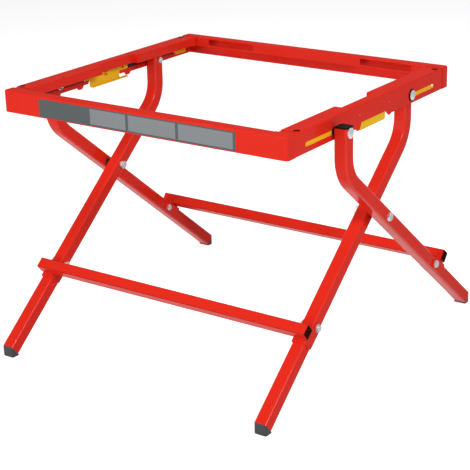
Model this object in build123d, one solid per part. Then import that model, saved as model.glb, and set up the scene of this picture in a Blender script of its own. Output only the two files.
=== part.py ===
from build123d import *
from math import atan2, cos, pi, radians, sin, sqrt, tan
import os

# Folding saw stand: a sheet steel top frame on two pairs of crossing legs.
# Origin at the middle of the footprint on the floor, +X right, +Y to the back, +Z up.
# Lengths are in millimetres and angles in degrees.

# Overall sizes
stand_height = 600.0
frame_width = 732.0
frame_depth = 671.0

# Fits and cutting
slide_gap = 0.3
turn_gap = 0.1
press_gap = 0.15
overrun = 6.0

# Sheet of the top frame
rail_sheet = 1.6
rail_bend = 3.0
rail_height = 48.0

# Front and rear rails, which wrap round the corners
end_flange = 26.0
end_lip_drop = 23.0
end_lip_gap = 2.0
corner_radius = 8.0
corner_return = 28.0
window_length = 135.0
window_inset = 37.0
window_height = 15.0
window_rise = 4.5
window_corner = 3.0

# Side rails, with wide pads at the ends, a narrow waist and ends that duck under the end rails
pad_width = 40.4
waist_width = 24.4
side_lip_drop = 20.6
right_waist_front = 98.0
right_waist_rear = 36.0
left_waist_front = 56.0
left_waist_rear = 78.0
duck_inset = 40.5
pad_hole_radius = 6.0
pad_hole_inset = 48.5
pad_hole_side = 10.5

# Ears and finger cut-out along the lower edge of the side rails
ear_drop = 5.5
ear_round = 3.0
ear_run = 5.0
cutout_rise = 9.4
cutout_front = 54.0
cutout_rear = 46.0
front_ear_run = 8.0
front_ear_land = 10.0
rear_ear_drop = 2.5
rear_ear_run = 14.0
rear_ear_land = 7.0
left_cutout_front = 58.0
left_cutout_rear = 50.0
left_land_run = 4.0
left_land_rise = 2.0
left_land = 16.0
left_ear_run = 6.0
left_ear_land = 12.0

# Top pins and the slots that they slide in
pin_reach = 162.0
pin_drop = 30.0
fold_angle = 38.0
neck_radius = 3.0
neck_gap = 0.4
slot_width = 10.0

# Latch plates
latch_sheet = 2.0
latch_lift = 10.0
latch_top_drop = 15.0
arm_top_drop = 2.0
latch_middle = 7.0
body_front = 95.0
body_rear = 80.0
tab_front = 58.0
tab_rear = 48.0
tab_hang = 8.0
tab_round = 4.0
tab_lip = 5.0
prong_length = 27.0
prong_height = 3.0
hook_end = 312.0
hook_drop = 5.4
hook_round = 2.5
prong_bar = 3.3
sight_hole_radius = 3.0
sight_hole_rise = 1.2
lug_length = 14.0
lug_reach = 13.5
lug_fall = 11.0

# Guide studs of the latch plates, pressed flush into the side rails
stud_reach = 62.0
stud_drop = 22.0
stud_radius = 2.5
stud_head_radius = 5.0
stud_head = 1.6

# Return springs of the latch plates
spring_radius = 4.0
spring_wire = 0.5
spring_turns = 6
spring_steps_per_turn = 2
peg_radius = 3.0
peg_height = 4.0

# Legs, bent square tube
leg_tube = 30.0
leg_wall = 1.5
leg_corner = 5.0
leg_angle = 39.4
leg_bend = 82.0
leg_top_rise = 10.0
pivot_drop = 253.0
inner_leg_gap = 2.0
outer_leg_gap = 5.0

# Rubber feet and top plugs
foot_toe = 3.0
foot_round = 2.0
foot_side_round = 4.5
foot_stem = 26.0
plug_height = 3.0
plug_round = 1.5
plug_stem = 4.5

# Crossbars and the saddles that carry them
bar_tube = 25.0
bar_wall = 1.2
bar_corner = 3.0
bar_reach = 315.0
bar_overhang = 1.5
saddle_sheet = 2.5
saddle_bend = 4.0
saddle_above_bolt = 11.0
saddle_below_bolt = 48.0
saddle_depth = 12.0
saddle_ear_rise = 10.0
saddle_land = 4.0
saddle_round = 7.0
saddle_bolt_step = 27.0

# Pins at the top of the legs
pin_radius = 4.0
pin_head_radius = 11.0
pin_head = 4.5
pin_head_rim = 1.5
pin_washer_radius = 13.0
pin_washer = 1.5
glide_radius = 9.0
spacer_radius = 9.0
inner_nut_width = 13.0
inner_nut = 6.5
outer_nut_width = 10.0
outer_nut = 5.0
outer_washer_radius = 8.0
outer_washer = 1.5
thread_end = 1.5

# Pivot bolts and bar bolts
pivot_radius = 5.0
pivot_head_width = 17.0
pivot_head = 6.4
pivot_nut = 8.4
bush_radius = 9.0
bar_bolt_radius = 4.0
bar_bolt_head_width = 13.0
bar_bolt_head = 5.3
bar_bolt_flange_radius = 9.0
bar_bolt_flange = 1.4
bar_nut = 6.8

# Places worked out from the sizes above, shared by several pieces
half_width = frame_width / 2
half_depth = frame_depth / 2
side_outside = half_width - rail_sheet
side_inside = side_outside - rail_sheet
side_end_top = stand_height - rail_sheet
rail_bottom = stand_height - rail_height
side_end = half_depth - corner_radius
duck_start = half_depth - duck_inset
ear_bottom = rail_bottom - ear_drop
cutout_top = rail_bottom + cutout_rise
end_lip_end = side_outside - pad_width - end_lip_gap

pin_height = stand_height - pin_drop
pivot_height = stand_height - pivot_drop
pin_rise = pin_height - pivot_height
link = sqrt(pin_reach * pin_reach + pin_rise * pin_rise)
standing_angle = atan2(pin_rise, pin_reach)
pin_travel = link * cos(standing_angle - radians(fold_angle)) - pin_reach
neck_hole = neck_radius + neck_gap
slot_height = pin_height + neck_hole - slot_width / 2

latch_outside = side_inside - slide_gap
latch_inside = latch_outside - latch_sheet
latch_top = stand_height - latch_top_drop
arm_top = latch_top - arm_top_drop
arm_bottom = pin_height - neck_hole - prong_bar
tab_bottom = rail_bottom - tab_hang
lug_top = latch_top - lug_fall
lug_middle = -latch_middle
stud_height = stand_height - stud_drop
spring_across = latch_inside - tan(pi / 4) * (spring_radius * 2)

inner_leg_outside = latch_inside - inner_leg_gap
inner_leg_inside = inner_leg_outside - leg_tube
outer_leg_inside = half_width + outer_leg_gap
outer_leg_outside = outer_leg_inside + leg_tube
slope = radians(leg_angle)
leg_top = pin_height + leg_top_rise
knee_height = pivot_height + pin_reach * tan(slope)
foot_end_height = foot_toe + leg_tube / 2 * cos(slope)
foot_end_reach = (pivot_height - foot_end_height) / sin(slope)
bar_lift = leg_tube / 2 + saddle_sheet + bar_tube / 2
bar_bolt_reach = bar_reach - saddle_bolt_step


def on_leg(along, lift):
    """Point of an inner leg's plane: along its straight run from the pivot, and above its middle line."""
    across = along * cos(slope) - lift * sin(slope)
    up = pivot_height + along * sin(slope) + lift * cos(slope)
    return across, up


def leg_plane(middle):
    """Plane on an inner leg at the pivot: X across the stand, Y up the leg, Z out of its upper face."""
    return Plane(origin=(middle, 0, pivot_height), x_dir=(1, 0, 0), z_dir=(0, -sin(slope), cos(slope)))


def rod(radius, start, end, y, z):
    """Round bar along X."""
    plane = Plane(origin=(start, y, z), x_dir=(0, 1, 0), z_dir=(1, 0, 0))
    return extrude(plane * Circle(radius), amount=end - start)


def tube_ring(radius, bore, start, end, y, z):
    """Washer or bush along X."""
    plane = Plane(origin=(start, y, z), x_dir=(0, 1, 0), z_dir=(1, 0, 0))
    return extrude(plane * (Circle(radius) - Circle(bore)), amount=end - start)


def hexagon(width, start, end, y, z, bore=0):
    """Hexagonal head or nut along X, with its corners turned down at both ends."""
    plane = Plane(origin=(start, y, z), x_dir=(0, 1, 0), z_dir=(1, 0, 0))
    height = end - start
    corner = width / sqrt(3)
    prism = extrude(plane * RegularPolygon(radius=corner, side_count=6), amount=height)
    turned = extrude(plane * Circle(corner), amount=height)
    turned = chamfer(turned.edges().filter_by(GeomType.CIRCLE), corner - width / 2)
    body = prism & turned
    if bore:
        body -= rod(bore, start - overrun, end + overrun, y, z)
    return body


def both_sides(piece):
    """The piece on the right and its mirror image on the left, as one group."""
    return Compound(children=[piece, mirror(piece, about=Plane.YZ)])


def to_back(piece):
    """Mirror image of a piece from the front legs' side to the back."""
    return mirror(piece, about=Plane.XZ)


def sheet_section(wall, flange, lip=0):
    """Folded sheet seen on its end: outer corner at zero, wall down, flange inwards, lip down."""
    points = [(0, -wall), (0, 0), (-flange, 0)]
    if lip:
        points.append((-flange, -lip))
    outside = FilletPolyline(*points, radius=rail_bend)
    return make_face(offset(outside, amount=rail_sheet, side=Side.LEFT, closed=True))


def end_rail(windows):
    """Front rail: a channel whose wall and flange wrap round both corners of the frame."""
    corner_x = half_width - corner_radius
    front = Plane(origin=(0, -half_depth, stand_height), x_dir=(0, -1, 0), z_dir=(-1, 0, 0))
    channel = sheet_section(rail_height, end_flange, end_lip_drop)
    rail = extrude(front * channel, amount=end_lip_end, both=True)
    shelf = sheet_section(rail_height, end_flange)
    wrap = sheet_section(rail_height, corner_radius)
    shelf_plane = Plane(origin=(corner_x, -half_depth, stand_height), x_dir=(0, -1, 0), z_dir=(-1, 0, 0))
    corner_shelf = extrude(shelf_plane * shelf, amount=corner_x - end_lip_end)
    corner_axis = Axis((corner_x, -side_end, 0), (0, 0, 1))
    corner = revolve(shelf_plane * wrap, axis=corner_axis, revolution_arc=90)
    side_plane = Plane(origin=(half_width, -side_end, stand_height), x_dir=(1, 0, 0), z_dir=(0, -1, 0))
    back_run = extrude(side_plane * wrap, amount=-(corner_return - corner_radius))
    corner_part = corner_shelf + corner + back_run
    rail = rail + corner_part + mirror(corner_part, about=Plane.YZ)
    if windows:
        rail -= lip_windows()
    return rail


def lip_windows():
    """The two openings in the rear rail's inner lip."""
    height = stand_height - end_lip_drop + window_rise + window_height / 2
    middle = end_lip_end - window_inset - window_length / 2
    face = Plane(origin=(middle, end_flange - half_depth, height), x_dir=(1, 0, 0), z_dir=(0, 1, 0))
    window = RectangleRounded(window_length, window_height, window_corner)
    cut = extrude(face * window, amount=overrun / 2, both=True)
    return cut + mirror(cut, about=Plane.YZ)


def right_edge():
    """Points of the right side rail's lower edge, in Y and Z, from the front."""
    front_low = -cutout_front - front_ear_run
    front_start = front_low - front_ear_land
    rear_low = cutout_rear + rear_ear_run
    rear_end = rear_low + rear_ear_land
    rear_bottom = rail_bottom - rear_ear_drop
    return [
        (front_start - ear_run, rail_bottom),
        (front_start, ear_bottom),
        (front_low, ear_bottom),
        (-cutout_front, cutout_top),
        (cutout_rear, cutout_top),
        (rear_low, rear_bottom),
        (rear_end, rear_bottom),
        (rear_end + ear_run, rail_bottom),
    ]


def left_edge():
    """The same for the left side rail, whose ears stand farther out, beyond two short lands."""
    points = []
    for side, cutout in ((-1, left_cutout_front), (1, left_cutout_rear)):
        land_start = cutout + left_land_run
        land_end = land_start + left_land
        ear_start = land_end + left_ear_run
        ear_end = ear_start + left_ear_land
        half = [
            (side * cutout, cutout_top),
            (side * land_start, rail_bottom + left_land_rise),
            (side * land_end, rail_bottom + left_land_rise),
            (side * ear_start, ear_bottom),
            (side * ear_end, ear_bottom),
            (side * (ear_end + left_ear_run), rail_bottom),
        ]
        points += half if side > 0 else half[::-1]
    return points


def below_edge(points):
    """Closed outline, in Y and Z, of what the side rail's wall leaves out below its lower edge."""
    front_end = (-half_depth, rail_bottom)
    rear_end = (half_depth, rail_bottom)
    edge = FilletPolyline(front_end, *points, rear_end, radius=ear_round)
    low = ear_bottom - overrun
    below = Polyline(rear_end, (half_depth, low), (-half_depth, low), front_end)
    return make_face(Wire(edge.edges() + below.edges()))


def side_run(width, start, end, top=stand_height):
    """A stretch of side rail with one flange width and height."""
    plane = Plane(origin=(side_outside, start, top), x_dir=(1, 0, 0), z_dir=(0, -1, 0))
    return extrude(plane * sheet_section(top - ear_bottom, width, side_lip_drop), amount=start - end)


def pad_end(y):
    """Lip across the end of a wide pad, from the pad's own lip to the lip of the waist."""
    width = pad_width - waist_width
    middle = side_outside - waist_width - width / 2 + rail_sheet
    height = side_lip_drop - rail_sheet
    return Pos(middle, y, stand_height - rail_sheet - height / 2) * Box(width, rail_sheet, height)


def slot_cutter(y):
    """Slot that a top pin slides in, cut through the side rail's wall."""
    plane = Plane(origin=(side_outside, y, slot_height), x_dir=(0, 1, 0), z_dir=(1, 0, 0))
    return extrude(plane * SlotCenterToCenter(pin_travel, slot_width), amount=overrun, both=True)


def side_rail(edge, waist_front, waist_rear):
    """Right-hand side rail: a channel with a stepped flange, eared lower edge, pin slots and bolt holes."""
    rail = side_run(pad_width, -duck_start, -waist_front)
    rail += side_run(waist_width, -waist_front, waist_rear)
    rail += side_run(pad_width, waist_rear, duck_start)
    for start, end in ((-side_end, rail_sheet - duck_start), (duck_start - rail_sheet, side_end)):
        rail += side_run(pad_width, start, end, side_end_top)
    rail += pad_end(-waist_front - rail_sheet / 2) + pad_end(waist_rear + rail_sheet / 2)
    wall = Plane(origin=(side_outside, 0, 0), x_dir=(0, 1, 0), z_dir=(1, 0, 0))
    rail -= extrude(wall * below_edge(edge), amount=overrun, both=True)
    slot_middle = pin_reach + pin_travel / 2
    rail -= slot_cutter(slot_middle) + slot_cutter(-slot_middle)
    for y in (-stud_reach, stud_reach):
        rail -= rod(stud_radius, side_inside - overrun, side_outside + overrun, y, stud_height)
    for y in (pad_hole_inset - half_depth, half_depth - pad_hole_inset):
        rail -= Pos(half_width - pad_hole_side, y, stand_height) * Cylinder(pad_hole_radius, overrun)
    peg = Pos(spring_across, lug_middle, stand_height - rail_sheet - peg_height / 2)
    return rail + peg * Cylinder(peg_radius, peg_height)


def flat(start, end, low, high):
    """Rectangle in a sketch, from its edges."""
    return Pos((start + end) / 2, (low + high) / 2) * Rectangle(end - start, high - low)


def rounded(start, end, low, high, radius):
    """Rectangle with round corners in a sketch, from its edges."""
    return Pos((start + end) / 2, (low + high) / 2) * RectangleRounded(end - start, high - low, radius)


def latch_arm():
    """Rear arm of a latch plate, in Y and Z: a fork open towards the pin and closed by a hook."""
    channel_start = pin_reach - neck_radius - neck_gap * 2
    prong_start = pin_reach + neck_radius + neck_gap * 2
    channel_end = pin_reach + pin_travel + neck_radius + neck_gap * 2
    arm = flat(0, channel_start, arm_bottom, arm_top) + flat(0, hook_end, pin_height + neck_hole, arm_top)
    arm += flat(prong_start, hook_end, arm_bottom, arm_bottom + prong_bar)
    hook_bottom = arm_bottom - hook_drop
    return arm + rounded(channel_end, hook_end, hook_bottom, arm_top, hook_round)


def latch_outline(prong):
    """Outline of a latch plate in Y and Z."""
    arm = latch_arm()
    outline = arm + mirror(arm, about=Plane.YZ)
    outline += flat(-body_front, body_rear, arm_bottom, latch_top)
    outline += rounded(-tab_front, tab_rear, tab_bottom, pin_height, tab_round)
    if prong:
        outline += flat(tab_rear - tab_round, tab_rear + prong_length, tab_bottom, tab_bottom + prong_height)
    slot_length = latch_lift + stud_radius * 2 + slide_gap * 2
    slot_middle = stud_height - latch_lift / 2
    for y in (-stud_reach, stud_reach):
        slot = SlotOverall(slot_length, (stud_radius + slide_gap) * 2, rotation=90)
        outline -= Pos(y, slot_middle) * slot
    outline -= Pos(0, arm_bottom + sight_hole_rise) * Circle(sight_hole_radius)
    lug_start = lug_middle - lug_length / 2
    return outline - flat(lug_start, lug_start + lug_length, lug_top, latch_top + overrun)


def latch_plate(prong):
    """Right latch plate with its finger lip, spring lug and peg."""
    plane = Plane(origin=(latch_inside, 0, 0), x_dir=(0, 1, 0), z_dir=(1, 0, 0))
    plate = extrude(plane * latch_outline(prong), amount=latch_sheet)
    lip_end = tab_rear + prong_length if prong else tab_rear - tab_round
    lip_start = tab_round - tab_front
    lip = Pos(latch_inside - tab_lip / 2, (lip_start + lip_end) / 2, tab_bottom + latch_sheet / 2)
    plate += lip * Box(tab_lip, lip_end - lip_start, latch_sheet)
    lug = Pos(latch_inside - lug_reach / 2, lug_middle, lug_top - latch_sheet / 2)
    plate += lug * Box(lug_reach, lug_length, latch_sheet)
    peg = Pos(spring_across, lug_middle, lug_top + peg_height / 2)
    return plate + peg * Cylinder(peg_radius, peg_height)


def guide_studs():
    """Studs that the latch plates slide on, flush outside and headed inside, on both sides."""
    studs = []
    inner_face = latch_inside - slide_gap
    for y in (-stud_reach, stud_reach):
        stud = rod(stud_radius, inner_face, side_outside, y, stud_height)
        stud += rod(stud_head_radius, inner_face - stud_head, inner_face, y, stud_height)
        studs.append(stud)
    return Compound(children=studs + [mirror(stud, about=Plane.YZ) for stud in studs])


def domed_head(radius, height, start, y, z, rim=0):
    """Round head with a low dome, standing out along +X from a face."""
    plane = Plane(origin=(start, y, z), x_dir=(0, 1, 0), z_dir=(0, 0, 1))
    foot = Line((0, 0), (radius, 0))
    side = Line((radius, 0), (radius, rim)) if rim else None
    crown = ThreePointArc((radius, rim), dome_point(radius, height, rim), (0, height))
    axle = Line((0, height), (0, 0))
    edges = [edge for edge in (foot, side, crown, axle) if edge]
    turned = revolve(Plane.XZ * make_face(Wire(edges)), axis=Axis.Z)
    outward = Plane(origin=(start, y, z), x_dir=(0, 1, 0), z_dir=(1, 0, 0))
    return outward * turned


def dome_point(radius, height, rim):
    """Middle point of the arc from a head's rim to its top."""
    rise = height - rim
    sphere = (radius * radius + rise * rise) / (2 * rise)
    half = atan2(radius, sphere - rise) / 2
    return sphere * sin(half), height - sphere * (1 - cos(half))


def coil_point(turn, bottom, pitch):
    """Point and direction of the spring's middle line after a number of turns."""
    angle = turn * 2 * pi
    climb = pitch / (2 * pi)
    point = Vector(spring_radius * cos(angle), spring_radius * sin(angle), bottom + turn * pitch)
    direction = Vector(-spring_radius * sin(angle), spring_radius * cos(angle), climb)
    return point, direction.normalized()


def biarc(start, start_way, end, end_way):
    """Two arcs that leave one point and reach the next in the given directions."""
    chord = end - start
    ways = start_way + end_way
    spread = 2 * (1 - start_way.dot(end_way))
    lean = chord.dot(ways)
    reach = (sqrt(lean * lean + spread * chord.dot(chord)) - lean) / spread
    near = start + start_way * reach
    far = end - end_way * reach
    joint = (near + far) * (1 / 2)
    middle_way = (far - near).normalized()
    return [TangentArc(start, joint, tangent=start_way), TangentArc(joint, end, tangent=middle_way)]


def latch_spring():
    """Right return spring: one open coil between the latch plate's lug and the rail's flange."""
    bottom = lug_top + spring_wire
    top = stand_height - rail_sheet - spring_wire
    pitch = (top - bottom) / spring_turns
    arcs = []
    steps = spring_turns * spring_steps_per_turn
    for step in range(steps):
        start, start_way = coil_point(step / spring_steps_per_turn, bottom, pitch)
        end, end_way = coil_point((step + 1) / spring_steps_per_turn, bottom, pitch)
        arcs += biarc(start, start_way, end, end_way)
    path = Wire(arcs)
    first, first_way = coil_point(0, bottom, pitch)
    wire = Plane(origin=first, z_dir=first_way) * Circle(spring_wire)
    print(f"latch spring: least gap between turns {pitch - 2 * spring_wire:.2f} mm")
    return Pos(spring_across, lug_middle, 0) * sweep(wire, path=path)


def leg(outside):
    """Inner leg on the right: square tube with a straight run, one bend and an upright top."""
    middle = outside - leg_tube / 2
    foot_y, foot_z = on_leg(-foot_end_reach, 0)
    path = FilletPolyline(
        (middle, foot_y, foot_z),
        (middle, pin_reach, knee_height),
        (middle, pin_reach, leg_top),
        radius=leg_bend,
    )
    bore = leg_tube - leg_wall * 2
    section = RectangleRounded(leg_tube, leg_tube, leg_corner)
    section -= RectangleRounded(bore, bore, leg_corner - leg_wall)
    start = Plane(origin=(middle, foot_y, foot_z), x_dir=(1, 0, 0), z_dir=(0, cos(slope), sin(slope)))
    tube = sweep(start * section, path=path)
    holes = [
        (pin_radius, pin_reach, pin_height),
        (pivot_radius, 0, pivot_height),
        (bar_bolt_radius, *on_leg(-bar_bolt_reach, 0)),
    ]
    for radius, y, z in holes:
        tube -= rod(radius + turn_gap, middle - leg_tube, middle + leg_tube, y, z)
    return tube


def foot(outside):
    """Rubber foot of an inner leg: a wedge that stands flat, with a stem inside the tube."""
    middle = outside - leg_tube / 2
    heel = on_leg(-foot_end_reach, leg_tube / 2)
    toe = on_leg(-foot_end_reach, -leg_tube / 2)
    outline = Polyline(heel, (heel[0], 0), (toe[0], 0), toe, close=True)
    plane = Plane(origin=(middle, 0, 0), x_dir=(0, 1, 0), z_dir=(1, 0, 0))
    wedge = extrude(plane * make_face(outline), amount=leg_tube / 2, both=True)
    uprights = wedge.edges().filter_by(Axis.Z).group_by(Axis.Y)[0]
    wedge = fillet(uprights, foot_side_round)
    wedge = fillet(wedge.faces().sort_by(Axis.Z)[0].edges(), foot_round)
    stem_width = leg_tube - (leg_wall + press_gap) * 2
    stem = RectangleRounded(stem_width, stem_width, leg_corner - leg_wall)
    end_y, end_z = on_leg(-foot_end_reach, 0)
    end = Plane(origin=(middle, end_y, end_z), x_dir=(1, 0, 0), z_dir=(0, cos(slope), sin(slope)))
    return wedge + extrude(end * stem, amount=foot_stem)


def top_plug(outside):
    """Plastic plug that closes the top of an inner leg."""
    middle = outside - leg_tube / 2
    seat = Plane(origin=(middle, pin_reach, leg_top))
    cap = extrude(seat * RectangleRounded(leg_tube, leg_tube, leg_corner), amount=plug_height)
    cap = fillet(cap.faces().sort_by(Axis.Z)[-1].edges(), plug_round)
    stem_width = leg_tube - (leg_wall + press_gap) * 2
    stem = RectangleRounded(stem_width, stem_width, leg_corner - leg_wall)
    return cap + extrude(seat * stem, amount=-plug_stem)


def crossbar(half_length):
    """Front crossbar: an open square tube that lies square on the legs' upper faces."""
    y, z = on_leg(-bar_reach, bar_lift)
    bore = bar_tube - bar_wall * 2
    section = RectangleRounded(bar_tube, bar_tube, bar_corner)
    section -= RectangleRounded(bore, bore, bar_corner - bar_wall)
    plane = Plane(origin=(0, y, z), x_dir=(0, cos(slope), sin(slope)), z_dir=(1, 0, 0))
    return extrude(plane * section, amount=half_length, both=True)


def saddle_notch():
    """What a saddle leaves out above its crossbar, in Y along the leg and Z above its middle line."""
    start = bar_tube / 2 + saddle_land - bar_reach
    top = leg_tube / 2 + saddle_sheet
    drop = top - saddle_ear_rise
    end = saddle_above_bolt - bar_bolt_reach + overrun
    outline = Polyline(
        (start, top + overrun),
        (start, top),
        (start + drop, saddle_ear_rise),
        (end, saddle_ear_rise),
        (end, top + overrun),
        close=True,
    )
    side = Plane(origin=(0, 0, 0), x_dir=(0, 1, 0), z_dir=(1, 0, 0))
    return extrude(side * make_face(outline), amount=leg_tube, both=True)


def saddle(outside):
    """Folded saddle over an inner leg: a plate under the crossbar, and ears that reach up to the bolt."""
    middle = outside - leg_tube / 2
    half = leg_tube / 2 + saddle_sheet
    top = leg_tube / 2 + saddle_sheet
    outline = FilletPolyline(
        (half, -saddle_depth), (half, top), (-half, top), (-half, -saddle_depth), radius=saddle_bend
    )
    section = make_face(offset(outline, amount=saddle_sheet, side=Side.LEFT, closed=True))
    length = saddle_above_bolt + saddle_below_bolt
    across = Plane(origin=(0, saddle_above_bolt - bar_bolt_reach, 0), x_dir=(1, 0, 0), z_dir=(0, -1, 0))
    body = extrude(across * section, amount=length) - saddle_notch()
    edges = body.edges().filter_by(Axis.X)
    ear_corners = edges.group_by(Axis.Y)[-1] + edges.group_by(Axis.Z)[0].group_by(Axis.Y)[0]
    body = leg_plane(middle) * fillet(ear_corners, saddle_round)
    y, z = on_leg(-bar_bolt_reach, 0)
    return body - rod(bar_bolt_radius + turn_gap, middle - leg_tube, middle + leg_tube, y, z)


def inner_pin():
    """Shouldered pin of an inner leg: head outside the rail, neck in the slot, thick shank in the leg."""
    head = side_outside + slide_gap + pin_washer
    end = inner_leg_inside - slide_gap - inner_nut - thread_end
    pin = domed_head(pin_head_radius, pin_head, head, pin_reach, pin_height, pin_head_rim)
    pin += rod(neck_radius, inner_leg_outside, head, pin_reach, pin_height)
    return pin + rod(pin_radius, end, inner_leg_outside, pin_reach, pin_height)


def inner_pin_nut():
    """Nut on an inner leg's inner face."""
    face = inner_leg_inside - slide_gap
    return hexagon(inner_nut_width, face - inner_nut, face, pin_reach, pin_height, pin_radius)


def inner_pin_washer():
    """Dark washer between the pin's head and the side rail."""
    face = side_outside + slide_gap
    return tube_ring(pin_washer_radius, neck_radius, face, face + pin_washer, pin_reach, pin_height)


def inner_pin_glide():
    """Plastic washer between an inner leg and the latch plate."""
    thin = slide_gap
    start = inner_leg_outside + thin
    return tube_ring(glide_radius, neck_radius, start, latch_inside - thin, pin_reach, pin_height)


def outer_pin():
    """Pin of an outer leg, built at the back: head on the leg, thick shank in it, neck in the slot."""
    end = latch_inside - slide_gap - outer_washer - outer_nut - thread_end
    pin = domed_head(pin_head_radius, pin_head, outer_leg_outside, pin_reach, pin_height, pin_head_rim)
    pin += rod(pin_radius, outer_leg_inside, outer_leg_outside, pin_reach, pin_height)
    return pin + rod(neck_radius, end, outer_leg_inside, pin_reach, pin_height)


def outer_pin_spacer():
    """Plastic spacer between an outer leg and the side rail."""
    start = side_outside + slide_gap
    return tube_ring(spacer_radius, neck_radius, start, outer_leg_inside, pin_reach, pin_height)


def outer_pin_washer():
    """Washer between the latch plate and the outer pin's nut."""
    face = latch_inside - slide_gap
    return tube_ring(outer_washer_radius, neck_radius, face - outer_washer, face, pin_reach, pin_height)


def outer_pin_nut():
    """Nut on the inner end of an outer pin."""
    face = latch_inside - slide_gap - outer_washer
    return hexagon(outer_nut_width, face - outer_nut, face, pin_reach, pin_height, neck_radius)


def pivot_bolt():
    """Bolt through both legs at the crossing, with its head on the outer leg."""
    end = inner_leg_inside - slide_gap - pivot_nut - thread_end
    head_end = outer_leg_outside + pivot_head
    bolt = rod(pivot_radius, end, outer_leg_outside, 0, pivot_height)
    return bolt + hexagon(pivot_head_width, outer_leg_outside, head_end, 0, pivot_height)


def pivot_nut_piece():
    """Lock nut of the pivot bolt, on the inner leg's inner face."""
    face = inner_leg_inside - slide_gap
    return hexagon(pivot_head_width, face - pivot_nut, face, 0, pivot_height, pivot_radius)


def pivot_bush():
    """Bush that keeps the two legs apart at the crossing."""
    bore = pivot_radius + turn_gap
    return tube_ring(bush_radius, bore, inner_leg_outside, outer_leg_inside - slide_gap, 0, pivot_height)


def bar_bolt(outside):
    """Flanged bolt through a saddle's ears and its leg."""
    y, z = on_leg(-bar_bolt_reach, 0)
    face = outside + saddle_sheet
    end = outside - leg_tube - saddle_sheet - bar_nut - thread_end
    bolt = rod(bar_bolt_radius, end, face, y, z)
    bolt += rod(bar_bolt_flange_radius, face, face + bar_bolt_flange, y, z)
    return bolt + hexagon(bar_bolt_head_width, face, face + bar_bolt_head, y, z)


def bar_nut_piece(outside):
    """Nut of a bar bolt, on the saddle's inner ear."""
    y, z = on_leg(-bar_bolt_reach, 0)
    face = outside - leg_tube - saddle_sheet
    return hexagon(bar_bolt_head_width, face - bar_nut, face, y, z, bar_bolt_radius)


def left(piece):
    """Mirror image of a right-hand piece on the left of the stand."""
    return mirror(piece, about=Plane.YZ)


def frame_pieces():
    """The top frame with its latches."""
    front = end_rail(windows=False)
    right_rail = side_rail(right_edge(), right_waist_front, right_waist_rear)
    left_rail = side_rail(left_edge(), left_waist_front, left_waist_rear)
    spring = latch_spring()
    return {
        "front_rail": front,
        "rear_rail": to_back(end_rail(windows=True)),
        "right_side_rail": right_rail,
        "left_side_rail": left(left_rail),
        "right_latch_plate": latch_plate(prong=False),
        "left_latch_plate": left(latch_plate(prong=True)),
        "right_latch_spring": spring,
        "left_latch_spring": left(spring),
        "latch_guide_studs": guide_studs(),
    }


def inner_pieces():
    """The inner pair of legs with the front crossbar."""
    outside = inner_leg_outside
    tube = leg(outside)
    rubber = foot(outside)
    plug = top_plug(outside)
    seat = saddle(outside)
    return {
        "right_inner_leg": tube,
        "left_inner_leg": left(tube),
        "right_inner_foot": rubber,
        "left_inner_foot": left(rubber),
        "right_inner_plug": plug,
        "left_inner_plug": left(plug),
        "right_front_saddle": seat,
        "left_front_saddle": left(seat),
        "front_crossbar": crossbar(outside + saddle_sheet + bar_overhang),
        "front_bar_bolts": both_sides(bar_bolt(outside)),
        "front_bar_nuts": both_sides(bar_nut_piece(outside)),
        "pivot_bushes": both_sides(pivot_bush()),
        "inner_pin_bolts": both_sides(inner_pin()),
        "inner_pin_washers": both_sides(inner_pin_washer()),
        "inner_pin_glides": both_sides(inner_pin_glide()),
        "inner_pin_nuts": both_sides(inner_pin_nut()),
    }


def outer_pieces():
    """The outer pair of legs with the rear crossbar."""
    outside = outer_leg_outside
    tube = to_back(leg(outside))
    rubber = to_back(foot(outside))
    plug = to_back(top_plug(outside))
    seat = to_back(saddle(outside))
    return {
        "right_outer_leg": tube,
        "left_outer_leg": left(tube),
        "right_outer_foot": rubber,
        "left_outer_foot": left(rubber),
        "right_outer_plug": plug,
        "left_outer_plug": left(plug),
        "right_rear_saddle": seat,
        "left_rear_saddle": left(seat),
        "rear_crossbar": to_back(crossbar(outside + saddle_sheet + bar_overhang)),
        "rear_bar_bolts": both_sides(to_back(bar_bolt(outside))),
        "rear_bar_nuts": both_sides(to_back(bar_nut_piece(outside))),
        "pivot_bolts": both_sides(pivot_bolt()),
        "pivot_nuts": both_sides(pivot_nut_piece()),
        "outer_pin_bolts": both_sides(to_back(outer_pin())),
        "outer_pin_spacers": both_sides(to_back(outer_pin_spacer())),
        "outer_pin_washers": both_sides(to_back(outer_pin_washer())),
        "outer_pin_nuts": both_sides(to_back(outer_pin_nut())),
    }


def fold_figures():
    """Print how far the top pins slide when the stand is folded."""
    print(f"fold: each leg turns {fold_angle:.2f} degrees, link {link:.2f} mm")
    print(f"fold: the pins slide {pin_travel:.2f} mm")


def main():
    os.makedirs("parts", exist_ok=True)
    fold_figures()
    pieces = frame_pieces() | inner_pieces() | outer_pieces()
    for name, piece in pieces.items():
        export_step(piece, f"parts/{name}.step")
        volume = sum(solid.volume for solid in piece.solids())
        print(name, f"{volume:.0f} mm3")


main()
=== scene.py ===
import math

import bpy
from mathutils import Matrix, Vector


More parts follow.
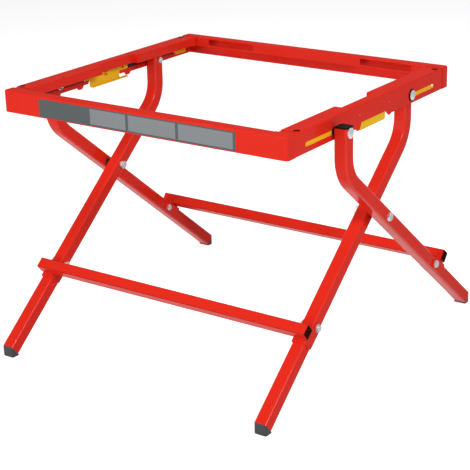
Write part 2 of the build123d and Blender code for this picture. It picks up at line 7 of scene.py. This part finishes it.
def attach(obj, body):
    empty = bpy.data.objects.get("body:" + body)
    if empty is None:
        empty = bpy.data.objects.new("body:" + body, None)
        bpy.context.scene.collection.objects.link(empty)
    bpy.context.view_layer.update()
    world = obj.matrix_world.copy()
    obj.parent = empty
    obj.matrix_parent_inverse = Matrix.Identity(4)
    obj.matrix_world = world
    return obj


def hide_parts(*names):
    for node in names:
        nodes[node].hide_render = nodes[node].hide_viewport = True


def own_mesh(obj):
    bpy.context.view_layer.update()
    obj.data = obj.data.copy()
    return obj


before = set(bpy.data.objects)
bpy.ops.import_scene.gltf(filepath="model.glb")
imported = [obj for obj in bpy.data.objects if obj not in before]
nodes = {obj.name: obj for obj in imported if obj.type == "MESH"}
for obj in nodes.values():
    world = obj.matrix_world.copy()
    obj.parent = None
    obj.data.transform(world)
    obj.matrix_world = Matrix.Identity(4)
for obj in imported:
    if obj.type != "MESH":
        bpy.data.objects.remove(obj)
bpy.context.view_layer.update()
bpy.ops.object.select_all(action="DESELECT")


# Front and rear rails.
# Folded sheet steel channels that close the top at the front and back and wrap round both corners.
# They are spot welded to the side rails through their short returns, then powder coated red.

class Wire:
    """A value in a material. Sums on it add the nodes that work them out."""

    def __init__(self, tree, socket=None):
        self.tree = tree
        self.socket = socket

    def make(self, kind, settings, sockets, out=0):
        """Add one node: its settings first, then the values or links of its sockets."""
        node = self.tree.nodes.new(kind)
        for name, value in settings.items():
            setattr(node, name, value)
        for name, value in sockets.items():
            if isinstance(value, Wire):
                self.tree.links.new(value.socket, node.inputs[name])
            else:
                node.inputs[name].default_value = value
        return Wire(self.tree, node.outputs[out])

    def sum(self, operation, first, second=0.0):
        return self.make("ShaderNodeMath", {"operation": operation}, {0: first, 1: second})

    def __add__(self, other):
        return self.sum("ADD", self, other)

    __radd__ = __add__

    def __sub__(self, other):
        return self.sum("SUBTRACT", self, other)

    def __rsub__(self, other):
        return self.sum("SUBTRACT", other, self)

    def __mul__(self, other):
        return self.sum("MULTIPLY", self, other)

    __rmul__ = __mul__

    def __truediv__(self, other):
        return self.sum("DIVIDE", self, other)

    def __gt__(self, other):
        return self.sum("GREATER_THAN", self, other)

    def __lt__(self, other):
        return self.sum("LESS_THAN", self, other)


def fresh_material(name):
    """A new material with its shader, and the object's own coordinates as a first value."""
    material = bpy.data.materials.new(name)
    material.use_nodes = True
    tree = material.node_tree
    shader = next(node for node in tree.nodes if node.type == "BSDF_PRINCIPLED")
    place = Wire(tree).make("ShaderNodeTexCoord", {}, {}, out="Object")
    return material, shader, place


def plug_in(wire, shader, socket):
    wire.tree.links.new(wire.socket, shader.inputs[socket])


def noise(place, scale, detail=2.0, roughness=0.5):
    """Even three-dimensional noise between 0 and 1."""
    return place.make("ShaderNodeTexNoise", {}, {
        "Vector": place, "Scale": scale, "Detail": detail, "Roughness": roughness,
    })


def tinted(place, mask, dark, light):
    """Colour that runs from dark to light as the mask goes from 0 to 1."""
    return place.make("ShaderNodeMix", {"data_type": "RGBA"}, {
        "Factor": mask, 6: (*dark, 1.0), 7: (*light, 1.0),
    }, out=2)


def covered(place, mask, under, colour):
    """A plain colour laid over what is under it where the mask is 1."""
    return place.make("ShaderNodeMix", {"data_type": "RGBA"}, {
        "Factor": mask, 6: under, 7: (*colour, 1.0),
    }, out=2)


def shaded(colour, share):
    return tuple(channel * share for channel in colour)


def part_of(vector, axis):
    """X, Y or Z of a place or direction."""
    return vector.make("ShaderNodeSeparateXYZ", {}, {0: vector}, out=axis)


def facing(place, axis):
    """How far a surface faces along an axis, from -1 to 1."""
    return part_of(place.make("ShaderNodeTexCoord", {}, {}, out="Normal"), axis)


def emboss(height, shader):
    """Bump of a height in millimetres."""
    bump = height.make("ShaderNodeBump", {}, {
        "Strength": 1.0, "Distance": 0.001, "Height": height,
    }, out="Normal")
    plug_in(bump, shader, "Normal")


def away_from(place, spot):
    """Distance from a spot that repeats in all corners of the stand."""
    corner = place.make("ShaderNodeVectorMath", {"operation": "ABSOLUTE"}, {0: place})
    return place.make("ShaderNodeVectorMath", {"operation": "DISTANCE"}, {0: corner, 1: spot}, out="Value")


def fading(distance, width):
    """1 at no distance, falling to 0 over the width on either side."""
    share = distance / width
    return share.sum("EXPONENT", share * share * -1.0)


# Dark red-brown laid on the coats as painted shade in recesses and under lips.
painted_shade_colour = (0.060, 0.012, 0.009)
top_gloss, low_gloss = 0.07, 0.09


def powder_coat(name, colour, press_marks=None, dark=None, corners=0.0):
    """Powder coat with fine orange peel, rubbed duller on top, shinier on corners, and painted shade where a
    mask is given.
    """
    material, shader, place = fresh_material(name)
    cloud = noise(place, 5.0, 3.0)
    speck = noise(place, 420.0, 1.0)
    mottle = cloud * 0.8 + speck * 0.2
    face = tinted(place, mottle, shaded(colour, 0.93), shaded(colour, 1.07))
    # Where the mask is 1, a dark colour covers the coat as painted shade.
    if dark:
        face = covered(place, dark(place), face, painted_shade_colour)
    plug_in(face, shader, "Base Color")
    plug_in(0.27 + cloud * 0.08 + speck * 0.05, shader, "Roughness")
    peel = noise(place, 380.0, 2.0, 0.4) * 0.035 + noise(place, 60.0, 1.0) * 0.12
    emboss(peel + press_marks(place) if press_marks else peel, shader)
    down = 1.0 - facing(place, "Z")
    across = facing(place, "X")
    corner = across * across * (1.0 - across * across) * 4.0
    plug_in(down * down * down * low_gloss + top_gloss + corner * corners, shader, "Coat Weight")
    shader.inputs["Specular IOR Level"].default_value = 0.0
    shader.inputs["Coat Roughness"].default_value = 0.16
    return material


def dress(names, material):
    """Give CAD pieces their finish."""
    for name in names:
        for slot in nodes[name].material_slots:
            slot.material = material


red = (0.81, 0.0255, 0.0125)
spot_weld = (0.366, 0.314, 0.580)
weld_radius, weld_depth = 0.0036, 0.9


def weld_dimple(place):
    """Dimple of the spot weld on each short return, in millimetres."""
    return fading(away_from(place, spot_weld), weld_radius) * -weld_depth


dress(["front_rail", "rear_rail"], powder_coat("red_coat_spot_welded", red, weld_dimple))


# Bare film on the front rail.
# A dark grey plastic film with rounded corners, stuck on the rail's outer face.
# Three paler fields are printed on it beside a dark end.

def select_only(piece):
    bpy.ops.object.select_all(action="DESELECT")
    piece.select_set(True)
    bpy.context.view_layer.objects.active = piece


def settle(piece, name, material, body):
    """Name a finished piece, put its place into its mesh, and fix it to its body."""
    select_only(piece)
    bpy.ops.object.transform_apply(location=True, rotation=True, scale=True)
    piece.name = name
    piece.data.materials.clear()
    piece.data.materials.append(material)
    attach(piece, body)


film_start, film_end, film_low, film_high = -0.2640, 0.2465, 0.5540, 0.5935
film_thickness, film_gap, film_corner = 0.00016, 0.00002, 0.0015
front_face = -0.3355
field_low, field_high = 0.5575, 0.5905
field_ends = ((-0.1215, -0.0270), (-0.0200, 0.1005), (0.1075, 0.2400))
film_grey, field_grey = (0.050, 0.062, 0.064), (0.205, 0.222, 0.236)


def film_finish():
    """Grey film with fine grain and its paler fields."""
    material, shader, place = fresh_material("grey_film")
    across, rise = part_of(place, "X"), part_of(place, "Z")
    fields = 0.0
    for start, end in field_ends:
        fields = (across > start) * (across < end) + fields
    fields = fields * (rise > field_low) * (rise < field_high)
    grain = noise(place, 900.0, 2.0)
    plug_in(tinted(place, fields * (0.92 + grain * 0.08), film_grey, field_grey), shader, "Base Color")
    plug_in(0.36 + grain * 0.1, shader, "Roughness")
    emboss(grain * 0.01 + noise(place, 30.0, 1.0) * 0.05, shader)
    return material


bpy.ops.mesh.primitive_plane_add(
    size=1.0, location=((film_start + film_end) / 2, front_face - film_gap, (film_low + film_high) / 2),
    rotation=(math.pi / 2, 0.0, 0.0))
film = bpy.context.object
film.scale = (film_end - film_start, film_high - film_low, 1.0)
bpy.ops.object.transform_apply(location=True, rotation=True, scale=True)
bpy.ops.object.mode_set(mode="EDIT")
bpy.ops.mesh.select_all(action="SELECT")
bpy.ops.mesh.bevel(offset=film_corner, segments=5, affect="VERTICES")
bpy.ops.object.mode_set(mode="OBJECT")
thickness = film.modifiers.new("thickness", "SOLIDIFY")
thickness.thickness = film_thickness
thickness.offset = 1.0
bpy.ops.object.modifier_apply(modifier="thickness")
settle(film, "front_film", film_finish(), "top_frame")


# Side rails.
# Channels with broad bolting pads, long slots for the top pins and flush studs for the lock plates.
# The bolt holes are pressed, which draws a shallow dish round each, and the studs show as faint rings.

pad_hole = (0.3555, 0.287, 0.600)
dish_radius, dish_depth, hole_shade_radius = 0.0085, 1.1, 0.0073
stud_face = (0.3644, 0.062, 0.578)
seam_radius, seam_width, seam_depth = 0.0030, 0.0009, 0.25
rim_radius, rim_width, rim_height = 0.0058, 0.0016, 0.06


def side_marks(place):
    """Dishes round the bolt holes, and a seam with a low rim round each stud, in millimetres."""
    dish = fading(away_from(place, pad_hole), dish_radius) * -dish_depth
    stud = away_from(place, stud_face)
    seam = fading(stud - seam_radius, seam_width) * -seam_depth
    return dish + seam + fading(stud - rim_radius, rim_width) * rim_height


def bolt_hole_shade(place):
    """1 in and round each bolt hole, where painted shade stands in for the dark of the hole, and 0
    elsewhere.
    """
    level = place.make("ShaderNodeVectorMath", {"operation": "MULTIPLY"}, {0: place, 1: (1.0, 1.0, 0.0)})
    return away_from(level, (pad_hole[0], pad_hole[1], 0.0)) < hole_shade_radius


# The dark patch round each bolt hole is painted shade.
side_coat = powder_coat("red_coat_pressed", red, side_marks, dark=bolt_hole_shade)
dress(["left_side_rail", "right_side_rail"], side_coat)


# Guide studs.
# Steel studs set flush in the side rails, with wide inner heads that hold the lock plates.
# They were zinc plated before they were set, and the coat covers their outer ends.

end_shade_share = (0.40, 0.46, 0.50)


def plated(name, colour, roughness, brushed=0.0, coated_from=None):
    """Plated or oiled steel with painted shade on its end faces for a darker reflection, and coated red
    beyond a distance from the middle.
    """
    material, shader, place = fresh_material(name)
    cloud = noise(place, 90.0, 3.0)
    lines = place.make("ShaderNodeMapping", {"vector_type": "POINT"}, {
        "Vector": place, "Scale": (3000.0, 60.0, 60.0),
    })
    streak = noise(lines, 1.0, 2.0)
    # End faces are painted darker and bluer, a painted reflection on the heads.
    across = facing(place, "X")
    ends = across * across * across * across
    painted_end_shade = tuple(channel * share for channel, share in zip(colour, end_shade_share))
    face = tinted(place, (cloud * 0.4 + 0.6) * (1.0 - ends * 0.8), painted_end_shade, colour)
    if coated_from:
        coated = place.sum("ABSOLUTE", part_of(place, "X")) > coated_from
        face = covered(place, coated, face, red)
        plug_in(1.0 - coated, shader, "Metallic")
    else:
        shader.inputs["Metallic"].default_value = 1.0
    plug_in(face, shader, "Base Color")
    plug_in(roughness + cloud * 0.12, shader, "Roughness")
    emboss(streak * brushed + cloud * 0.02, shader)
    return material


stud_coated_from = 0.3640
dress(["latch_guide_studs"], plated("coated_stud", (0.80, 0.80, 0.78), 0.34, coated_from=stud_coated_from))


# Lock plates.
# Yellow coated plates behind the side rails. A squeeze on the finger tab lifts them on their studs.
# Their arms close the pin slots, so the slots look yellow; the arm's web gives way as the stand folds.

yellow = (1.0, 0.590, 0.014)
plate_inside, plate_outside = 0.36052, 0.36248
shade_start, shade_end, shade_skin_depth = 0.080, 0.262, 0.0003


def painted_lip_shade(place):
    """1 on the inner faces of the arms under the rail's lip, where painted shade stands in for the lip's
    shadow.
    """
    across = place.sum("ABSOLUTE", part_of(place, "X"))
    along = place.sum("ABSOLUTE", part_of(place, "Y"))
    return (across < plate_inside + shade_skin_depth) * (along > shade_start) * (along < shade_end)


# Along the arms under the lip, the yellow coat is darkened as painted shade.
yellow_coat = powder_coat("yellow_coat", yellow, dark=painted_lip_shade)
dress(["left_latch_plate", "right_latch_plate"], yellow_coat)

channel_low, channel_high = 0.56665, 0.57335
web_start, front_web_end, rear_web_end = 0.1657, 0.2686, 0.2590
sides = (("right", 1.0), ("left", -1.0))
for side, sign in sides:
    for end, way, web_end in (("front", -1.0, front_web_end), ("rear", 1.0, rear_web_end)):
        middle = (sign * plate_inside, way * (web_start + web_end) / 2, (channel_low + channel_high) / 2)
        bpy.ops.mesh.primitive_plane_add(size=1.0, location=middle, rotation=(0.0, math.pi / 2, 0.0))
        web = bpy.context.object
        web.scale = (channel_high - channel_low, web_end - web_start, 1.0)
        bpy.ops.object.transform_apply(location=True, rotation=True, scale=True)
        bpy.ops.object.mode_set(mode="EDIT")
        bpy.ops.mesh.select_all(action="SELECT")
        bpy.ops.mesh.extrude_region_move(
            TRANSFORM_OT_translate={"value": (sign * (plate_outside - plate_inside), 0.0, 0.0)})
        bpy.ops.mesh.select_all(action="SELECT")
        bpy.ops.mesh.normals_make_consistent(inside=False)
        bpy.ops.object.mode_set(mode="OBJECT")
        settle(web, f"{side}_{end}_web", yellow_coat, f"{side}_latch")
        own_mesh(web)


# Return springs.
# Small coils of drawn wire between each lock plate's lug and the side rail's flange.
# They press the plate down again when the tab is let go.

def drawn_wire():
    """Bare spring steel with faint cloudy patches."""
    material, shader, place = fresh_material("drawn_wire")
    cloud = noise(place, 300.0, 2.0)
    plug_in(tinted(place, cloud, (0.30, 0.30, 0.30), (0.52, 0.52, 0.51)), shader, "Base Color")
    plug_in(0.26 + cloud * 0.15, shader, "Roughness")
    shader.inputs["Metallic"].default_value = 1.0
    return material


spring_radius, spring_wire, spring_turns = 0.0040, 0.00050, 6
wire_sides, turn_steps, wire_smoothing = 10, 28, math.radians(50.0)
spring_low, spring_high = 0.5740, 0.5984
spring_across, spring_along = 0.3525, -0.007
spring_metal = drawn_wire()
for side, sign in sides:
    bpy.ops.mesh.primitive_circle_add(
        vertices=wire_sides, radius=spring_wire, location=(spring_radius, 0.0, 0.0),
        rotation=(math.pi / 2, 0.0, 0.0))
    spring = bpy.context.object
    bpy.ops.object.transform_apply(location=True, rotation=True, scale=True)
    coil = spring.modifiers.new("coil", "SCREW")
    coil.axis = "Z"
    coil.angle = math.tau
    coil.iterations = spring_turns
    coil.steps = coil.render_steps = turn_steps
    coil.screw_offset = (spring_high - spring_low - 2 * spring_wire) / spring_turns
    bpy.ops.object.modifier_apply(modifier="coil")
    bpy.ops.object.mode_set(mode="EDIT")
    bpy.ops.mesh.select_all(action="SELECT")
    bpy.ops.mesh.remove_doubles(threshold=0.00001)
    bpy.ops.mesh.select_all(action="DESELECT")
    bpy.ops.mesh.select_non_manifold()
    bpy.ops.mesh.fill()
    bpy.ops.mesh.select_all(action="SELECT")
    bpy.ops.mesh.normals_make_consistent(inside=False)
    bpy.ops.object.mode_set(mode="OBJECT")
    spring.location = (sign * spring_across, spring_along, spring_low + spring_wire)
    bpy.ops.object.shade_smooth_by_angle(angle=wire_smoothing)
    settle(spring, f"{side}_return_coil", spring_metal, "top_frame")
    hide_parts(f"{side}_latch_spring")
    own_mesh(spring)


# Legs.
# Square steel tube, bent once near the top so that the upper ends stand upright, and coated red.
# The inner pair carries the front crossbar and the outer pair the rear one.

corner_gloss = 0.38
leg_coat = powder_coat("red_coat_tube", red, corners=corner_gloss)
dress(["left_inner_leg", "right_inner_leg", "left_outer_leg", "right_outer_leg"], leg_coat)


# Feet.
# Moulded rubber wedges, shaped to stand flat on the floor.
# They are pushed into the lower ends of the legs.

def moulded(name, dark, light, roughness, grain, depth, gloss=0.5):
    """Moulded rubber or plastic with a fine even grain."""
    material, shader, place = fresh_material(name)
    cloud = noise(place, 45.0, 3.0)
    fine = noise(place, grain, 2.0)
    plug_in(tinted(place, cloud * 0.6 + fine * 0.4, dark, light), shader, "Base Color")
    plug_in(roughness + fine * 0.12, shader, "Roughness")
    emboss(fine * depth, shader)
    shader.inputs["Specular IOR Level"].default_value = gloss
    return material


rubber = moulded("foot_rubber", (0.030, 0.033, 0.036), (0.062, 0.066, 0.070), 0.55, 1600.0, 0.05, 0.3)
dress(["left_inner_foot", "right_inner_foot", "left_outer_foot", "right_outer_foot"], rubber)


# Top plugs.
# Moulded black plastic plugs that close the upper ends of the legs.
# They are pressed into the tubes.

black_plastic = moulded(
    "black_plastic", (0.003, 0.003, 0.003), (0.009, 0.009, 0.009), 0.42, 1100.0, 0.03, 0.02)
dress(["left_inner_plug", "right_inner_plug", "left_outer_plug", "right_outer_plug"], black_plastic)


# Crossbars and saddles.
# Open square tubes welded to folded saddles, which are bolted over the legs.
# One short bead of weld runs along each side of the tube on every saddle.

dress(["left_front_saddle", "right_front_saddle", "left_rear_saddle", "right_rear_saddle"], leg_coat)

leg_slope = math.radians(39.4)
pivot_height = 0.347
bar_middle, bar_lift, bore_half = 0.315, 0.0300, 0.0119
inner_leg_middle, outer_leg_middle = 0.3435, 0.3860


def on_leg(along, lift, way):
    """Y and Z of a point that lies along a leg's straight run from the pivot, and above its middle line."""
    across = along * math.cos(leg_slope) - lift * math.sin(leg_slope)
    up = pivot_height + along * math.sin(leg_slope) + lift * math.cos(leg_slope)
    return way * across, up


def bore_shade(place):
    """1 inside the crossbars' tubes, where painted shade darkens the bore, and 0 outside."""
    middle, height = on_leg(-bar_middle, bar_lift, 1.0)
    rise = part_of(place, "Z") - height
    depth = place.sum("ABSOLUTE", part_of(place, "Y")) * -1.0 - middle
    along = depth * math.cos(leg_slope) + rise * math.sin(leg_slope)
    lift = rise * math.cos(leg_slope) - depth * math.sin(leg_slope)
    return (place.sum("ABSOLUTE", along) < bore_half) * (place.sum("ABSOLUTE", lift) < bore_half)


# The coat inside the crossbars' open ends is painted dark as shade.
dress(["front_crossbar", "rear_crossbar"], powder_coat("red_coat_crossbar", red, dark=bore_shade))

bead_length, bead_radius, bead_voxel = 0.0265, 0.0023, 0.00042
bead_shift, bead_lift = 0.0122, 0.0183
ripple_pitch, ripple_sway, ripple_rise, ripple_swell = 0.0022, 0.0002, 0.00015, 0.09
ripples = []
bpy.ops.mesh.primitive_uv_sphere_add(segments=14, ring_count=9, radius=bead_radius)
ripple = bpy.context.object
ripple.scale = (0.72, 1.0, 1.0)
bpy.ops.object.transform_apply(location=True, rotation=True, scale=True)
count = int(bead_length / ripple_pitch) + 1
for number in range(count):
    drop = ripple.copy()
    drop.data = ripple.data.copy()
    bpy.context.collection.objects.link(drop)
    sway = ripple_sway * math.sin(number * 2.4)
    rise = ripple_rise * math.cos(number * 1.7)
    drop.location = ((number - (count - 1) / 2) * ripple_pitch, sway, rise)
    swell = 1.0 + ripple_swell * math.sin(number * 1.3)
    drop.scale = (1.0, swell, swell)
    ripples.append(drop)
bpy.data.objects.remove(ripple)
bpy.ops.object.select_all(action="DESELECT")
for drop in ripples:
    drop.select_set(True)
bpy.context.view_layer.objects.active = ripples[0]
bpy.ops.object.join()
bead = bpy.context.object
bpy.ops.object.transform_apply(location=True, rotation=True, scale=True)
skin = bead.modifiers.new("skin", "REMESH")
skin.mode = "VOXEL"
skin.voxel_size = bead_voxel
skin.use_smooth_shade = True
bpy.ops.object.modifier_apply(modifier="skin")

bars = (("front", 1.0, inner_leg_middle, "inner_legs"), ("rear", -1.0, outer_leg_middle, "outer_legs"))
for name, way, middle, body in bars:
    for side, sign in sides:
        for edge, shift in (("upper", bead_shift), ("lower", -bead_shift)):
            across, up = on_leg(-bar_middle + shift, bead_lift, way)
            weld = bead.copy()
            weld.data = bead.data.copy()
            bpy.context.collection.objects.link(weld)
            weld.location = (sign * middle, across, up)
            weld.rotation_euler = (way * leg_slope, 0.0, 0.0)
            settle(weld, f"{side}_{name}_{edge}_weld", leg_coat, body)
bpy.data.objects.remove(bead)


# Bolts and nuts.
# Zinc plated hexagon bolts with lock nuts hold the saddles and join the legs at the crossing.
# The top pins have low domed heads, turned bright. The bushes are oiled black, and the nuts of the outer
# pins are zinc coloured darker as a painted reflection of dark surroundings.

dress(["front_bar_bolts", "front_bar_nuts", "rear_bar_bolts", "rear_bar_nuts", "pivot_bolts", "pivot_nuts",
       "inner_pin_nuts", "outer_pin_washers"], plated("zinc_plate", (0.72, 0.72, 0.72), 0.34, 0.006))
dress(["inner_pin_bolts", "outer_pin_bolts"], plated("turned_pin", (0.84, 0.86, 0.86), 0.24))
dress(["pivot_bushes"], plated("oiled_steel", (0.045, 0.040, 0.040), 0.45))
# The outer pins' nuts get a dark colour as a painted reflection.
dress(["outer_pin_nuts"], plated("zinc_painted_dark", (0.20, 0.21, 0.18), 0.40))


# Washers and spacers.
# Loose rings on the pins: black plastic under the heads of the inner pins and round the outer ones.
# Those that slide on the lock plates are natural nylon.

dress(["inner_pin_washers", "outer_pin_spacers"], black_plastic)
dress(["inner_pin_glides"], moulded(
    "natural_nylon", (0.60, 0.58, 0.52), (0.72, 0.70, 0.65), 0.42, 800.0, 0.02))


# Floor and light.
# A pale seamless floor under a broad soft key from the front, a small fill from the front right and a wide
# top light. The camera, gloss and glass see the floor and the surround as white.

def seen_white(start):
    """1 where the camera, gloss or glass sees a surface, and 0 where its light falls on the stand."""
    seen = start.make("ShaderNodeLightPath", {}, {}, out="Is Camera Ray")
    gloss = start.make("ShaderNodeLightPath", {}, {}, out="Is Glossy Ray")
    through = start.make("ShaderNodeLightPath", {}, {}, out="Is Transmission Ray")
    return start.sum("MAXIMUM", start.sum("MAXIMUM", seen, gloss), through)


white = (1.0, 1.0, 1.0, 1.0)
floor_radius, floor_drop, floor_glow = 14.0, 0.0005, 0.66
surround_light = 0.16


def pale_floor():
    """Matt pale floor that keeps the shadow, with a glow that only the camera, gloss and glass see."""
    material = bpy.data.materials.new("pale_floor")
    material.use_nodes = True
    tree = material.node_tree
    tree.nodes.clear()
    first = Wire(tree)
    grain = noise(first.make("ShaderNodeTexCoord", {}, {}, out="Object"), 3.0, 2.0)
    base = tinted(first, grain, (0.80, 0.80, 0.80), (0.82, 0.82, 0.82))
    matt = first.make("ShaderNodeBsdfDiffuse", {}, {"Color": base, "Roughness": 0.5})
    glow = first.make("ShaderNodeEmission", {}, {"Color": white, "Strength": floor_glow})
    both = first.make("ShaderNodeAddShader", {}, {0: matt, 1: glow})
    mixed = first.make("ShaderNodeMixShader", {}, {0: seen_white(first), 1: matt, 2: both})
    output = tree.nodes.new("ShaderNodeOutputMaterial")
    tree.links.new(mixed.socket, output.inputs["Surface"])
    return material


bpy.ops.mesh.primitive_circle_add(
    vertices=96, radius=floor_radius, fill_type="NGON", location=(0.0, 0.0, -floor_drop))
floor = bpy.context.object
floor.name = "pale_floor"
floor.data.materials.append(pale_floor())


def soft_box(name, place, size, power):
    """Rectangular lamp that points at the middle of the stand."""
    light = bpy.data.lights.new(name, "AREA")
    light.shape = "RECTANGLE"
    light.size, light.size_y = size
    light.energy = power
    lamp = bpy.data.objects.new(name, light)
    bpy.context.scene.collection.objects.link(lamp)
    lamp.location = place
    lamp.rotation_mode = "QUATERNION"
    lamp.rotation_quaternion = (stand_middle - Vector(place)).to_track_quat("-Z", "Y")


stand_middle = Vector((0.0, 0.0, 0.35))
soft_box("key", (-1.0, -3.6, 1.2), (2.4, 2.0), 66.0)
soft_box("fill", (2.6, -1.5, 2.4), (0.9, 0.9), 57.0)
soft_box("top", (0.2, 0.8, 3.4), (3.0, 3.0), 38.0)

surround = bpy.data.worlds.new("white_surround")
surround.use_nodes = True
bpy.context.scene.world = surround
sky = surround.node_tree
sky.nodes.clear()
air = Wire(sky)
strength = surround_light + seen_white(air) * (1.0 - surround_light)
glow = air.make("ShaderNodeBackground", {}, {"Color": white, "Strength": strength})
output = sky.nodes.new("ShaderNodeOutputWorld")
sky.links.new(glow.socket, output.inputs["Surface"])


# Camera.
# A long lens from the front right and above, as the picture of the stand was taken.
# It is turned a little about its own axis, and shifted sideways for the picture's frame.

azimuth, elevation, roll = math.radians(34.774), math.radians(20.35), math.radians(-1.299)
camera_place = (1.68970, -2.37206, 1.30753)
picture_size, focal_pixels, shift_pixels = 470, 1346.76, -15
back = Vector((
    math.sin(azimuth) * math.cos(elevation), -math.cos(azimuth) * math.cos(elevation), math.sin(elevation)))
right = Vector((math.cos(azimuth), math.sin(azimuth), 0.0))
up = back.cross(right)
turned_right = right * math.cos(roll) + up * math.sin(roll)
turned_up = up * math.cos(roll) - right * math.sin(roll)
camera = bpy.data.cameras.new("camera")
camera.sensor_width = 36.0
camera.lens = focal_pixels / picture_size * camera.sensor_width
camera.shift_x = shift_pixels / picture_size
camera.clip_end = 100.0
eye = bpy.data.objects.new("camera", camera)
bpy.context.scene.collection.objects.link(eye)
turn = Matrix((turned_right, turned_up, back)).transposed()
eye.matrix_world = Matrix.Translation(camera_place) @ turn.to_4x4()
bpy.context.scene.camera = eye
bpy.context.scene.view_settings.view_transform = "Standard"
